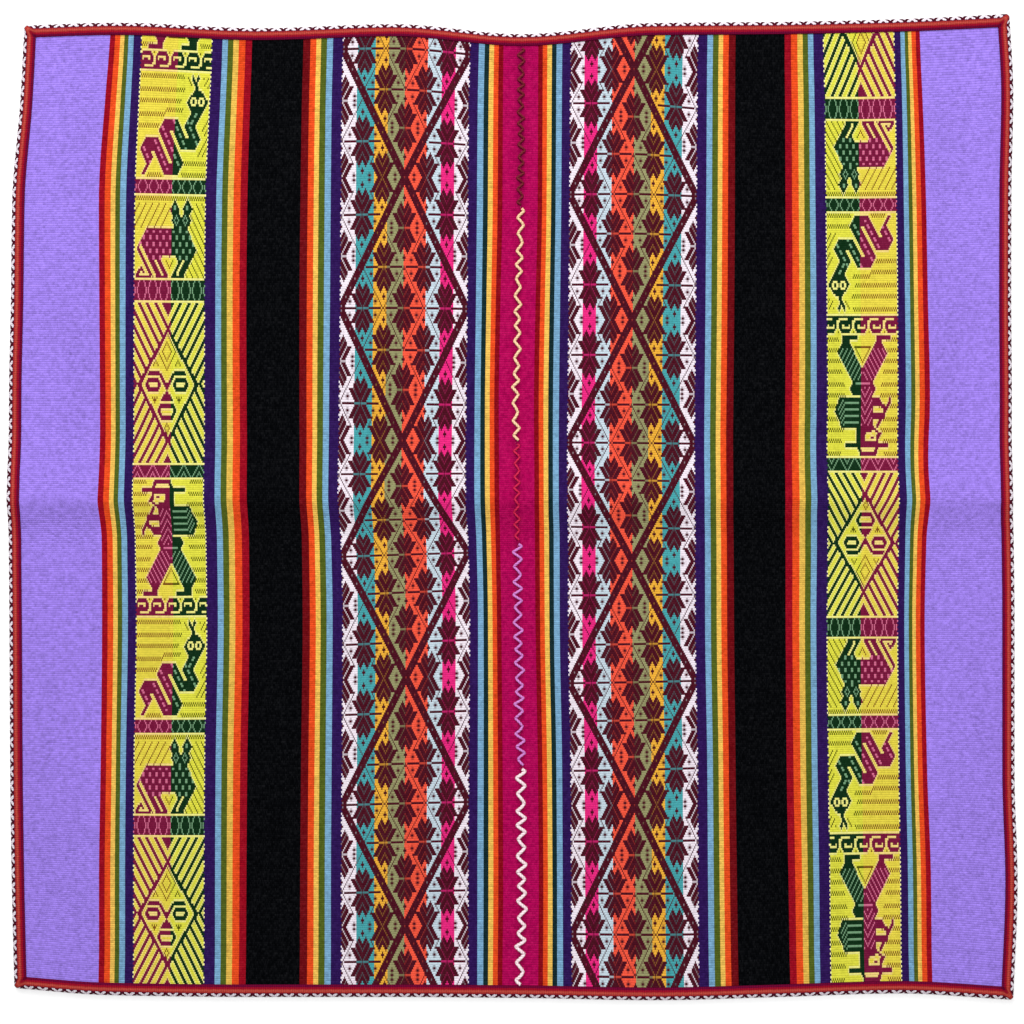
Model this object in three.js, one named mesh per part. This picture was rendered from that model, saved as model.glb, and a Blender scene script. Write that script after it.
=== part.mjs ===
// A mesa cloth: two warp-faced woven panels lying edge to edge, a tubular woven edging
// all round, and a zigzag of seam stitches in five yarns over the line where they meet.
// Millimetres, +Z up. The cloth lies on the plane z = 0, its middle over the origin.
import * as THREE from "three";

// Driving sizes
const CLOTH_WIDTH = 626;
const HEM_TOP = 300;
const HEM_BOTTOM = -303;
const CLOTH_THICKNESS = 1.4;
const SEAM_GAP = 0.3;

// The tubular edging wraps the cloth's raw edge, which ends inside it
const EDGING_WIDTH = 8.2;
const EDGING_THICKNESS = 3.2;
const EDGING_WALL = 0.6;
const EDGING_SLOT_END = 3;
const HEM_INSET = 3.5;
const EDGE_LIFT = 0.9;
const EDGE_LIFT_WIDTH = 20;

// The crease left by folding the cloth in half, steeper on its lower side
const CREASE_HEIGHT = 4.5;
const CREASE_Y = 4;
const CREASE_REACH_UP = 42;
const CREASE_REACH_DOWN = 22;
const CREASE_ROUNDING = 2.5;
const CREASE_POWER = 1.6;

// Mesh steps
const PANEL_COLUMNS = 10;
const CREASE_ROW_STEP = 4;
const CREASE_ROWS_BELOW = 6;
const CREASE_ROWS_ABOVE = 11;
const PLAIN_ROWS = 13;
const STITCH_SIDES = 5;
const STITCH_STEPS = 6;

// Where the side edges and the seam run, from the top hem down
const sideLines = [
  { y: 300, left: -303.1, seam: 4.9, right: 307.7 },
  { y: 252, left: -305.7, seam: 4.9, right: 310.2 },
  { y: 190, left: -310.7, seam: 4.7, right: 309 },
  { y: 128, left: -311.5, seam: 3, right: 308.9 },
  { y: 66, left: -312.7, seam: 1.8, right: 309.3 },
  { y: 23, left: -312.8, seam: 2.3, right: 308.9 },
  { y: 4, left: -312.3, seam: 2.4, right: 308.3 },
  { y: -20, left: -312.8, seam: 2.5, right: 310.4 },
  { y: -70, left: -312.4, seam: 3.1, right: 310.9 },
  { y: -163, left: -311.9, seam: 4.6, right: 310.9 },
  { y: -231, left: -311, seam: 5.3, right: 312.8 },
  { y: -303, left: -309.3, seam: 4.3, right: 310.1 },
];

// How the two woven ends waver, from the left side to the right
const hemLines = [
  { x: -313, top: 298.6, bottom: -298.2 },
  { x: -255, top: 300.4, bottom: -302.6 },
  { x: -165, top: 297, bottom: -303.8 },
  { x: -80, top: 299.5, bottom: -303.8 },
  { x: 0, top: 293.3, bottom: -304.4 },
  { x: 85, top: 300.2, bottom: -305.8 },
  { x: 165, top: 300.9, bottom: -303.8 },
  { x: 240, top: 302.5, bottom: -301.6 },
  { x: 313, top: 305.8, bottom: -305.6 },
];

// Seam stitches, from the top: the stretch of seam, how far one zigzag runs, and the yarn
const seamStitches = [
  { name: "seam_stitches_brown", from: 290, to: 190, period: 7, swing: 2.3, radius: 0.9 },
  { name: "seam_stitches_cream", from: 187.5, to: 41.5, period: 9.6, swing: 2.1, radius: 0.9 },
  { name: "seam_stitches_red", from: 39, to: -20.5, period: 7.4, swing: 1.9, radius: 0.7 },
  { name: "seam_stitches_lilac", from: -23, to: -159.5, period: 8.6, swing: 2.5, radius: 1 },
  { name: "seam_stitches_white", from: -162, to: -294, period: 9.5, swing: 2.7, radius: 1 },
];
const STITCH_CLEARANCE = 0.35;

const yarns = {
  panel_left: { color: "#6b4a8e", roughness: 0.85 },
  panel_right: { color: "#6b4a8e", roughness: 0.85 },
  edging: { color: "#b5322a", roughness: 0.85 },
  seam_stitches_brown: { color: "#3a1a1e", roughness: 0.8 },
  seam_stitches_cream: { color: "#f6dc9c", roughness: 0.8 },
  seam_stitches_red: { color: "#c81e3c", roughness: 0.8 },
  seam_stitches_lilac: { color: "#c78ae0", roughness: 0.8 },
  seam_stitches_white: { color: "#f4e8dc", roughness: 0.8 },
};

const mix = (a, b, share) => a + (b - a) * share;

// A smooth line through a table's points that never swings past them
function lineThrough(rows, at, column) {
  const points = [...rows].sort((a, b) => a[at] - b[at]);
  const gaps = points.slice(1).map((row, i) => row[at] - points[i][at]);
  const slopes = points.slice(1).map((row, i) => (row[column] - points[i][column]) / gaps[i]);
  const bends = points.map((row, i) => {
    if (i === 0 || i === points.length - 1) return slopes[Math.min(i, slopes.length - 1)];
    const [before, after] = [slopes[i - 1], slopes[i]];
    return before * after > 0 ? (2 * before * after) / (before + after) : 0;
  });
  return (value) => {
    const beyond = points.findIndex((row) => row[at] > value);
    const i = Math.max(0, (beyond < 0 ? points.length - 1 : beyond) - 1);
    const t = THREE.MathUtils.clamp((value - points[i][at]) / gaps[i], 0, 1);
    const u = 1 - t;
    return (
      points[i][column] * (1 + 2 * t) * u * u +
      bends[i] * gaps[i] * t * u * u +
      points[i + 1][column] * t * t * (3 - 2 * t) -
      bends[i + 1] * gaps[i] * t * t * u
    );
  };
}

const leftEdge = lineThrough(sideLines, "y", "left");
const seamLine = lineThrough(sideLines, "y", "seam");
const rightEdge = lineThrough(sideLines, "y", "right");
const topHem = lineThrough(hemLines, "x", "top");
const bottomHem = lineThrough(hemLines, "x", "bottom");

// The crease's height over the surface at a place along the cloth
function creaseHeight(y) {
  const away = Math.hypot(y - CREASE_Y, CREASE_ROUNDING) - CREASE_ROUNDING;
  const reach = y > CREASE_Y ? CREASE_REACH_UP : CREASE_REACH_DOWN;
  return CREASE_HEIGHT * Math.max(0, 1 - away / reach) ** CREASE_POWER;
}

// A point of the cloth's outline plan: across runs from 0 at the left edge to 1 at the
// right, with the seam at 0.5, and y is the place along the cloth before the hems waver
function planPoint(across, y) {
  const half = across * 2;
  const seam = seamLine(y);
  const x = half < 1 ? mix(leftEdge(y), seam, half) : mix(seam, rightEdge(y), half - 1);
  const even = (across - 0.5) * CLOTH_WIDTH;
  const waver = y > 0 ? topHem(even) - HEM_TOP : bottomHem(even) - HEM_BOTTOM;
  const share = (y > 0 ? y / HEM_TOP : y / HEM_BOTTOM) ** 2;
  return new THREE.Vector2(x, y + waver * share);
}

// The cloth lifts a little near its edges, where the thicker edging holds it
function edgeLift(across, y) {
  const fromSide = Math.min(across, 1 - across) * CLOTH_WIDTH;
  const fromHem = Math.min(HEM_TOP - y, y - HEM_BOTTOM);
  const inside = Math.min(fromSide, fromHem) - EDGING_WIDTH;
  const share = THREE.MathUtils.clamp(1 - inside / EDGE_LIFT_WIDTH, 0, 1);
  return EDGE_LIFT * share * share * (3 - 2 * share);
}

// Rows along the cloth: close together over the crease, far apart on the flat
const creaseRows = [];
for (let k = -CREASE_ROWS_BELOW; k <= CREASE_ROWS_ABOVE; k++) {
  creaseRows.push(CREASE_Y + k * CREASE_ROW_STEP);
}
const innerRows = [];
for (let k = 1; k < PLAIN_ROWS; k++) {
  innerRows.push(mix(HEM_BOTTOM + EDGING_WIDTH, creaseRows[0], (k - 1) / (PLAIN_ROWS - 1)));
}
innerRows.push(...creaseRows);
for (let k = 1; k < PLAIN_ROWS; k++) {
  innerRows.push(mix(creaseRows.at(-1), HEM_TOP - EDGING_WIDTH, k / (PLAIN_ROWS - 1)));
}

// One woven panel: a thin sheet that follows the outline, the crease and the edge's lift
function panelGeometry(from, to) {
  const rows = [HEM_BOTTOM + HEM_INSET, ...innerRows, HEM_TOP - HEM_INSET];
  const lastRow = rows.length - 1;
  const geometry = new THREE.BoxGeometry(1, 1, 1, PANEL_COLUMNS, lastRow, 1);
  const points = geometry.attributes.position;
  for (let i = 0; i < points.count; i++) {
    const across = mix(from, to, points.getX(i) + 0.5);
    const y = rows[Math.round((points.getY(i) + 0.5) * lastRow)];
    const plan = planPoint(across, y);
    const base = creaseHeight(plan.y) + edgeLift(across, y);
    const height = points.getZ(i) > 0 ? CLOTH_THICKNESS : 0;
    points.setXYZ(i, plan.x, plan.y, base + height);
  }
  geometry.computeVertexNormals();
  return geometry;
}

// The edging's outer line, counter-clockwise from the lower left corner
function outline() {
  const steps = PANEL_COLUMNS * 2;
  const line = [];
  for (let k = 0; k <= steps; k++) line.push(planPoint(k / steps, HEM_BOTTOM));
  for (const y of innerRows) line.push(planPoint(1, y));
  for (let k = steps; k >= 0; k--) line.push(planPoint(k / steps, HEM_TOP));
  for (const y of [...innerRows].reverse()) line.push(planPoint(0, y));
  return line;
}

// The direction into the cloth at a point of a closed line, long enough for a mitred corner
function inwardAt(line, i) {
  const before = line[(i + line.length - 1) % line.length];
  const after = line[(i + 1) % line.length];
  const arriving = line[i].clone().sub(before).normalize();
  const leaving = after.clone().sub(line[i]).normalize();
  const one = new THREE.Vector2(-arriving.y, arriving.x);
  const other = new THREE.Vector2(-leaving.y, leaving.x);
  return one.clone().add(other).divideScalar(1 + one.dot(other));
}

// The edging's section: how far in from the outer line, and how high. Its open slot
// faces the cloth and takes the panels' raw edges.
const slotBottom = EDGING_WALL;
const slotTop = EDGING_THICKNESS - EDGING_WALL;
const edgingSection = [
  { inward: EDGING_WIDTH, height: 0 },
  { inward: EDGING_WIDTH, height: slotBottom },
  { inward: EDGING_SLOT_END, height: slotBottom },
  { inward: EDGING_SLOT_END, height: slotTop },
  { inward: EDGING_WIDTH, height: slotTop },
  { inward: EDGING_WIDTH - 0.8, height: EDGING_THICKNESS },
  { inward: 1.4, height: EDGING_THICKNESS },
  { inward: 0.35, height: EDGING_THICKNESS - 0.5 },
  { inward: 0, height: EDGING_THICKNESS / 2 },
  { inward: 0.35, height: 0.5 },
  { inward: 1.4, height: 0 },
];

// One continuous woven tube, closed on itself round the cloth
function edgingGeometry() {
  const line = outline();
  const around = edgingSection.length;
  const vertices = [];
  line.forEach((point, i) => {
    const inward = inwardAt(line, i);
    for (const corner of edgingSection) {
      const x = point.x + inward.x * corner.inward;
      const y = point.y + inward.y * corner.inward;
      vertices.push(x, y, creaseHeight(y) + corner.height);
    }
  });
  const faces = [];
  for (let i = 0; i < line.length; i++) {
    const next = ((i + 1) % line.length) * around;
    for (let j = 0; j < around; j++) {
      const beside = (j + 1) % around;
      const [a, b] = [i * around + j, i * around + beside];
      faces.push(a, next + beside, next + j, a, b, next + beside);
    }
  }
  const geometry = new THREE.BufferGeometry();
  geometry.setAttribute("position", new THREE.Float32BufferAttribute(vertices, 3));
  geometry.setIndex(faces);
  geometry.computeVertexNormals();
  return geometry;
}

// The line of one yarn's zigzag down the seam, on top of the cloth
class SeamZigzag extends THREE.Curve {
  constructor(stitch) {
    super();
    this.stitch = stitch;
    this.turns = Math.round((stitch.from - stitch.to) / stitch.period);
  }

  getPoint(t, target = new THREE.Vector3()) {
    const { from, to, swing, radius } = this.stitch;
    const y = mix(from, to, t);
    const seam = planPoint(0.5, y);
    const side = Math.sin((this.turns * t + 1 / 12) * Math.PI * 2);
    const base = creaseHeight(seam.y) + edgeLift(0.5, y) + CLOTH_THICKNESS;
    return target.set(seam.x + swing * side, seam.y, base + STITCH_CLEARANCE + radius);
  }

  // Steps are even down the seam, so that every turn of the zigzag has the same ones
  getUtoTmapping(u) {
    return u;
  }
}

function stitchGeometry(stitch) {
  const corners = [];
  for (let k = 0; k < STITCH_SIDES; k++) {
    const angle = (k / STITCH_SIDES) * Math.PI * 2;
    corners.push(new THREE.Vector2(Math.cos(angle), Math.sin(angle)).multiplyScalar(stitch.radius));
  }
  const path = new SeamZigzag(stitch);
  return new THREE.ExtrudeGeometry(new THREE.Shape(corners), {
    steps: path.turns * STITCH_STEPS,
    extrudePath: path,
    bevelEnabled: false,
  });
}

const cloth = new THREE.Group();

function addPiece(name, geometry) {
  const material = new THREE.MeshStandardMaterial({ ...yarns[name], metalness: 0 });
  const mesh = new THREE.Mesh(geometry, material);
  mesh.name = name;
  cloth.add(mesh);
}

const hemShare = HEM_INSET / CLOTH_WIDTH;
const gapShare = SEAM_GAP / 2 / CLOTH_WIDTH;
addPiece("panel_left", panelGeometry(hemShare, 0.5 - gapShare));
addPiece("panel_right", panelGeometry(0.5 + gapShare, 1 - hemShare));
addPiece("edging", edgingGeometry());
for (const stitch of seamStitches) addPiece(stitch.name, stitchGeometry(stitch));

export default cloth;
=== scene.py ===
"""A mesa cloth laid out flat: two striped and patterned panels, edging and seam stitches.

The places are worked out in millimetres, as in the part's source, and scaled to metres
when a mesh is made. Pairs are counted from the seam outwards, picks from the top down.
"""

import math

import bpy
import numpy as np
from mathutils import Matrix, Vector


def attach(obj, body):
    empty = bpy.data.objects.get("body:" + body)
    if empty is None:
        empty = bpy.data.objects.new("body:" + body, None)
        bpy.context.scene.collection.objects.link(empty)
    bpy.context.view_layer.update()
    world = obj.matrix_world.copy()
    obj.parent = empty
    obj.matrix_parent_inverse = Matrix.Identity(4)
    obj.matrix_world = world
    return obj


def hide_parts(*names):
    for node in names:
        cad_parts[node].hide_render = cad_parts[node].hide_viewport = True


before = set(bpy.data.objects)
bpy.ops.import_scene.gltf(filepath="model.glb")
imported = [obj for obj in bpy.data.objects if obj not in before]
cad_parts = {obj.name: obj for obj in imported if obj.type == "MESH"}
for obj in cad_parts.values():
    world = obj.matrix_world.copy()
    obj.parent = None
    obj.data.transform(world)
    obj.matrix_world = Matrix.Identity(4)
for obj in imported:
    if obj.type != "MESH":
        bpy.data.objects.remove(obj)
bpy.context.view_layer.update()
bpy.ops.object.select_all(action="DESELECT")

MM = 0.001

# The cloth, as in the part's source
CLOTH_WIDTH = 626
HEM_TOP = 300
HEM_BOTTOM = -303
CLOTH_THICKNESS = 1.4
HEM_INSET = 3.5
EDGING_WIDTH = 8.2
EDGE_LIFT = 0.9
EDGE_LIFT_WIDTH = 20
CREASE_HEIGHT = 4.5
CREASE_Y = 4
CREASE_REACH_UP = 42
CREASE_REACH_DOWN = 22
CREASE_ROUNDING = 2.5
CREASE_POWER = 1.6

# The stitches pull the panels' inner edges almost together
SEAM_GAP = 0.06

# The camera hangs straight over the cloth
CAMERA_HEIGHT = 0.75
CAMERA_PLACE = (-0.0007, -0.0031)
VIEW_WIDTH = 0.6349
SENSOR_WIDTH = 36

# The floor lies just under the cloth
FLOOR_WIDTH = 6
FLOOR_DROP = 0.0002

# The two woven bands and the black stripe between: how many pairs wide, how many pairs lie on
# each side of a band's middle pair, and how many picks before a band repeats
ZIGZAG_PAIRS = 115
FIGURE_PAIRS = 65
BLACK_PAIRS = 45
ZIGZAG_HALF = ZIGZAG_PAIRS // 2
FIGURE_HALF = FIGURE_PAIRS // 2
ZIGZAG_REPEAT = 114
FIGURE_REPEAT = 245

# Yarn colours as they look, from 0 to 255
YARNS = {
    "lilac": (156, 127, 230),
    "crimson": (150, 7, 29),
    "orange": (227, 75, 28),
    "yellow": (234, 187, 86),
    "golden": (223, 180, 78),
    "green": (80, 95, 28),
    "light blue": (118, 164, 198),
    "indigo": (44, 19, 82),
    "black": (1, 2, 4),
    "dark red": (106, 7, 16),
    "deep red": (132, 5, 22),
    "dark teal": (17, 42, 44),
    "magenta": (172, 3, 82),
    "pale_fleck": (86, 86, 90),
    "lemon": (218, 216, 66),
    "warm lemon": (226, 208, 70),
    "pale yellow": (244, 238, 170),
    "peach": (248, 212, 160),
    "plum": (118, 21, 58),
    "dark green": (12, 45, 20),
    "rose": (208, 106, 140),
    "grey green": (114, 156, 118),
    "rust": (126, 78, 28),
    "olive": (84, 84, 12),
    "white": (238, 227, 237),
    "maroon": (74, 14, 30),
    "teal": (70, 160, 166),
    "gold": (234, 172, 56),
    "sage": (146, 145, 101),
    "coral": (241, 86, 62),
    "ice blue": (195, 212, 223),
    "hot pink": (230, 40, 125),
    "brick": (170, 51, 45),
    # The brick red lightened as a painted highlight along the edging's crest
    "painted brick highlight": (196, 80, 67),
    "crimson edging": (156, 14, 40),
    "wine": (108, 5, 50),
    "brown seam": (116, 28, 40),
    "cream seam": (252, 210, 166),
    "red seam": (205, 34, 76),
    "lilac seam": (210, 130, 208),
    "white seam": (252, 226, 232),
}

# The warp of one panel from the seam outwards: yarn and number of pairs
WARP = [
    ("magenta", 15),
    ("deep red", 4),
    ("orange", 4),
    ("yellow", 4),
    ("dark teal", 4),
    ("light blue", 5),
    ("indigo", 7),
    ("zigzag band", ZIGZAG_PAIRS),
    ("indigo", 8),
    ("light blue", 5),
    ("green", 5),
    ("yellow", 4),
    ("orange", 5),
    ("dark red", 6),
    ("black", BLACK_PAIRS),
    ("crimson", 6),
    ("orange", 6),
    ("golden", 5),
    ("green", 5),
    ("light blue", 5),
    ("indigo", 9),
    ("figure band", FIGURE_PAIRS),
    ("indigo", 7),
    ("light blue", 5),
    ("green", 4),
    ("yellow", 4),
    ("orange", 5),
    ("crimson", 5),
    ("lilac", 73),
]


def pairs_before(yarn):
    """How many pairs lie between the seam and a yarn's first stripe."""
    names = [name for name, _ in WARP]
    return sum(count for _, count in WARP[:names.index(yarn)])


# Places counted in pairs from the seam
ZIGZAG_START = pairs_before("zigzag band")
ZIGZAG_MIDDLE = ZIGZAG_START + ZIGZAG_PAIRS / 2
ZIGZAG_END = ZIGZAG_START + ZIGZAG_PAIRS
BLACK_MIDDLE = pairs_before("black") + BLACK_PAIRS / 2
FIGURE_START = pairs_before("figure band")
FIGURE_MIDDLE = FIGURE_START + FIGURE_PAIRS / 2
FIGURE_END = FIGURE_START + FIGURE_PAIRS
LILAC_START = pairs_before("lilac")
OUTER_PAIR = sum(count for _, count in WARP)

# The widths that the two woven bands keep, in millimetres
ZIGZAG_WIDTH = 79.4
FIGURE_WIDTH = 44.4

# A panel's mesh has a row at every pick in its woven bands. Its plain stripes have fewer: how
# many picks apart they are, and how far the closer rows reach, in millimetres and in picks.
NEAR_CREASE = 46
NEAR_HEM = 24
PICKS_NEAR_CREASE = 2
PICKS_NEAR_HEM = 4
PICKS_ELSEWHERE = 8
PICKS_UNDERNEATH = 4
PAIRS_UNDERNEATH = 3
PAIRS_IN_STRIPES = 9

# Where lines of the warp run, in millimetres, at these places from the top hem down: the seam,
# the middles of the zigzag, black and figure bands, the lilac band's inner side and the edge
LINE_ROWS = [300, 252, 190, 128, 66, 23, 4, -20, -70, -163, -231, -303]
SEAM_X = [4.9, 4.9, 4.7, 3, 1.8, 2.3, 2.4, 2.5, 3.1, 4.6, 5.3, 4.3]
LEFT_LINES = {
    "zigzag": [-65.6, -66.9, -67.4, -67.8, -68.5, -68.8, -68.6, -67.4, -66.3, -66.8, -67.2, -67.1],
    "black": [
        -146.1, -147.6, -148.8, -149.5, -149.1, -148.3,
        -147.7, -147.3, -147.2, -148.6, -149.2, -149.8,
    ],
    "figures": [
        -207.8, -210.1, -212.7, -213.2, -213.3, -213.2,
        -212.8, -212.4, -211.8, -213.2, -213.5, -213.5,
    ],
    "lilac": [
        -248.7, -253, -256.9, -256.6, -256.2, -256.1,
        -256.2, -255.1, -254.9, -255.8, -256.8, -256.8,
    ],
    "edge": [
        -303.1, -305.7, -310.7, -311.5, -312.7, -312.8,
        -312.3, -312.8, -312.4, -311.9, -311, -309.3,
    ],
}
RIGHT_LINES = {
    "zigzag": [75.2, 74.8, 74.4, 73.9, 73.3, 72.9, 72.8, 73.6, 73.6, 75.1, 75.4, 75.9],
    "black": [153.4, 153.4, 153.4, 153.2, 152.6, 152.1, 151.5, 152.6, 153.1, 153.7, 154.9, 156.2],
    "figures": [213.6, 215.1, 215.8, 216.5, 216.8, 216.2, 216.2, 217, 216.5, 217.3, 218.3, 218.8],
    "lilac": [251.3, 253.8, 256, 257.2, 258.5, 256.9, 257.2, 256.3, 255.2, 256.7, 259.1, 259.7],
    "edge": [307.7, 310.2, 309, 308.9, 309.3, 308.9, 308.3, 310.4, 310.9, 310.9, 312.8, 310.1],
}

# How the two woven ends waver, from the left side to the right
HEM_X = [-313, -255, -165, -80, 0, 85, 165, 240, 313]
HEM_TOPS = [298.6, 300.4, 297, 299.5, 293.3, 300.2, 300.9, 302.5, 305.8]
HEM_BOTTOMS = [-298.2, -302.6, -303.8, -303.8, -304.4, -305.8, -303.8, -301.6, -305.6]

# Pick numbers and their places along each panel. Pick 0 is the first row where the zigzags meet.
LEFT_PICKS = [-65, -57, -28, 0, 28, 57, 85, 114, 142, 171, 199, 228, 256, 285, 313, 342, 372]
LEFT_PICK_Y = [
    296.5, 285.2, 244.5, 205.5, 165.4, 124.2, 83.6, 41.9, 6.1,
    -28.9, -65.6, -104.9, -143.2, -182.8, -220, -258.6, -299.5,
]
RIGHT_PICKS = [-18, 0, 28, 57, 85, 114, 142, 171, 199, 228, 256, 285, 313, 342, 370, 399, 425]
RIGHT_PICK_Y = [
    296.5, 272.6, 234.8, 194.9, 156.6, 116.7, 78.9, 40.3, 4.3,
    -32.7, -69.8, -107.7, -144.3, -183.2, -222.2, -262.5, -299.5,
]

# Where the figures start, which run down the left panel and up the right one
LEFT_FIGURE_START = -45.5
RIGHT_FIGURE_START = 111

# How far the picks slant up from the zigzag band's middle to the figure band's, at the line
# rows, and how that is shared out over the pairs
LEFT_SLANT = [0, 0.9, -1, -0.3, 1, -0.3, -0.7, -2, -3.1, -2, -1.8, 0]
RIGHT_SLANT = [0, -6.5, -2.9, -1.5, -0.4, -1.1, -1.3, -1, 1, 1.7, 0.4, 0]
SLANT_PAIRS = [0, ZIGZAG_START, ZIGZAG_MIDDLE, ZIGZAG_END, FIGURE_MIDDLE]
SLANT_SHARES = [-0.6, -0.5, 0, 0.6, 1]

# The edging's colours, from its outer line inwards: white with dark eyes, a thin dark line,
# brick red with a painted highlight along its crest, crimson and wine
EYE_REPEAT = 8.95
EYES_WIDTH = 2.7
LINE_WIDTH = 0.4
PAINTED_HIGHLIGHT_MIDDLE = 4.5
PAINTED_HIGHLIGHT_REACH = 0.8
CRIMSON_FROM = 5.5
WINE_FROM = 6.7
EDGING_PICK = 1.12
EDGING_STRAND = 0.8

# Seam stitches: stretch of seam, length of one zigzag, half its width and the yarn's radius
STITCHES = [
    {"name": "brown", "from": 290, "to": 190, "period": 7, "swing": 1.7, "radius": 0.8},
    {"name": "cream", "from": 187.5, "to": 41.5, "period": 10, "swing": 1.6, "radius": 0.95},
    {"name": "red", "from": 39, "to": -20.5, "period": 7.4, "swing": 1.5, "radius": 0.7},
    {"name": "lilac", "from": -23, "to": -159.5, "period": 8.6, "swing": 2.3, "radius": 0.85},
    {"name": "white", "from": -162, "to": -294, "period": 9.5, "swing": 2.3, "radius": 1.1},
]

# How far a stitch rises between its turns, how sharp the turns are, from 0 for a sine to 1 for
# straight lines, and how finely the yarn is meshed
STITCH_RISE = 0.7
TURN_SHARPNESS = 0.96
STEPS_A_TURN = 30
YARN_SIDES = 10

# The two plies of a seam yarn: how fast they wind, in radians a millimetre, and how much of
# the radius the groove between them takes
PLY_WIND = 1.5
PLY_GROOVE = 0.22


def colour_of(yarn):
    """A yarn's colour as the shader takes it."""
    shares = np.array(YARNS[yarn]) / 255
    return np.where(shares <= 0.04045, shares / 12.92, ((shares + 0.055) / 1.055) ** 2.4)


def smooth_line(at, values):
    """A smooth line through a table's points that never swings past them."""
    order = np.argsort(at)
    at = np.array(at, float)[order]
    values = np.array(values, float)[order]
    gaps = np.diff(at)
    slopes = np.diff(values) / gaps
    before, after = slopes[:-1], slopes[1:]
    same_way = before * after > 0
    inner = np.where(same_way, 2 * before * after / np.where(same_way, before + after, 1), 0)
    bends = np.concatenate([slopes[:1], inner, slopes[-1:]])

    def line(place):
        i = np.clip(np.searchsorted(at, place, side="right") - 1, 0, len(gaps) - 1)
        t = np.clip((place - at[i]) / gaps[i], 0, 1)
        u = 1 - t
        start = values[i] * (1 + 2 * t) * u * u + bends[i] * gaps[i] * t * u * u
        end = values[i + 1] * t * t * (3 - 2 * t) - bends[i + 1] * gaps[i] * t * t * u
        return start + end

    return line


seam_line = smooth_line(LINE_ROWS, SEAM_X)
left_edge = smooth_line(LINE_ROWS, LEFT_LINES["edge"])
right_edge = smooth_line(LINE_ROWS, RIGHT_LINES["edge"])
top_hem = smooth_line(HEM_X, HEM_TOPS)
bottom_hem = smooth_line(HEM_X, HEM_BOTTOMS)


def crease_height(y):
    """How high the fold's crease stands over the surface."""
    away = np.hypot(y - CREASE_Y, CREASE_ROUNDING) - CREASE_ROUNDING
    reach = np.where(y > CREASE_Y, CREASE_REACH_UP, CREASE_REACH_DOWN)
    return CREASE_HEIGHT * np.maximum(0, 1 - away / reach) ** CREASE_POWER


def edge_lift(across, y):
    """The cloth lifts a little near its edges, where the thicker edging holds it."""
    from_side = np.minimum(across, 1 - across) * CLOTH_WIDTH
    from_hem = np.minimum(HEM_TOP - y, y - HEM_BOTTOM)
    inside = np.minimum(from_side, from_hem) - EDGING_WIDTH
    share = np.clip(1 - inside / EDGE_LIFT_WIDTH, 0, 1)
    return EDGE_LIFT * share * share * (3 - 2 * share)


def wavered(across, y):
    """The place along the cloth once the hems' waver is added."""
    even = (across - 0.5) * CLOTH_WIDTH
    waver = np.where(y > 0, top_hem(even) - HEM_TOP, bottom_hem(even) - HEM_BOTTOM)
    return y + waver * np.where(y > 0, y / HEM_TOP, y / HEM_BOTTOM) ** 2


def plan_point(across, y):
    """A point of the cloth's plan, across from 0 at the left edge to 1 at the right."""
    half = across * 2
    left_x = left_edge(y) + (seam_line(y) - left_edge(y)) * half
    right_x = seam_line(y) + (right_edge(y) - seam_line(y)) * (half - 1)
    return np.where(half < 1, left_x, right_x), wavered(across, y)


# Shapes on a chart, told from each cell's pair p and pick t


def patch(p, t, *corners):
    """Inside an outline."""
    inside = np.zeros(p.shape, bool)
    for (p0, t0), (p1, t1) in zip(corners, corners[1:] + corners[:1]):
        if t0 != t1:
            crosses = ((t0 > t) != (t1 > t)) & (p < (p1 - p0) * (t - t0) / (t1 - t0) + p0)
            inside ^= crosses
    return inside


def bar(p, t, start, end, width):
    """Within half a width of a straight line."""
    along = (end[0] - start[0], end[1] - start[1])
    length = along[0] ** 2 + along[1] ** 2
    share = np.clip(((p - start[0]) * along[0] + (t - start[1]) * along[1]) / length, 0, 1)
    return np.hypot(p - start[0] - share * along[0], t - start[1] - share * along[1]) <= width / 2


def lozenge(p, t, middle, reach):
    """Inside a lozenge."""
    return np.abs(p - middle[0]) + np.abs(t - middle[1]) <= reach


def lozenge_line(p, t, middle, reach):
    """On the outline of a lozenge."""
    away = np.abs(p - middle[0]) + np.abs(t - middle[1])
    return np.abs(away - reach) < 0.5


def six_sided(p, t, middle, reach, height):
    """A lozenge with its top and bottom cut flat."""
    return lozenge(p, t, middle, reach) & (np.abs(t - middle[1]) <= height)


def every(value, period):
    """The distance from a value to the nearest whole repeat."""
    return np.abs(np.mod(value + period / 2, period) - period / 2)


# The zigzag band. Its ground is a run of coloured stripes, each given with the pair where it
# ends, counted from the band's middle, and is figured in maroon.
ZIGZAG_GROUND = [
    (-44, "white"),
    (-32, "hot pink"),
    (-19, "ice blue"),
    (0.5, "coral"),
    (15.5, "sage"),
    (27.5, "gold"),
    (44, "teal"),
    (58, "white"),
]

# Rosettes in a quarter of the repeat, pushed a little away from the zigzag: the middle as
# pair and pick, and what stands beside it
ROSETTES = [
    {"at": (0, 22), "beside": "three dots"},
    {"at": (20, 0), "beside": "two dots"},
    {"at": (18, 39), "beside": "bar"},
    {"at": (38, 16), "beside": "bar"},
    {"at": (37, 57), "beside": "bar"},
    {"at": (57, 34), "beside": "three dots"},
    {"at": (0, 57), "beside": "bar"},
    {"at": (57, 0), "beside": "two dots"},
]

# How many picks from a rosette's middle the dots beside it lie, on both sides
DOT_PICKS = {"two dots": [1], "three dots": [0, 2], "bar": [3]}


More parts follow.
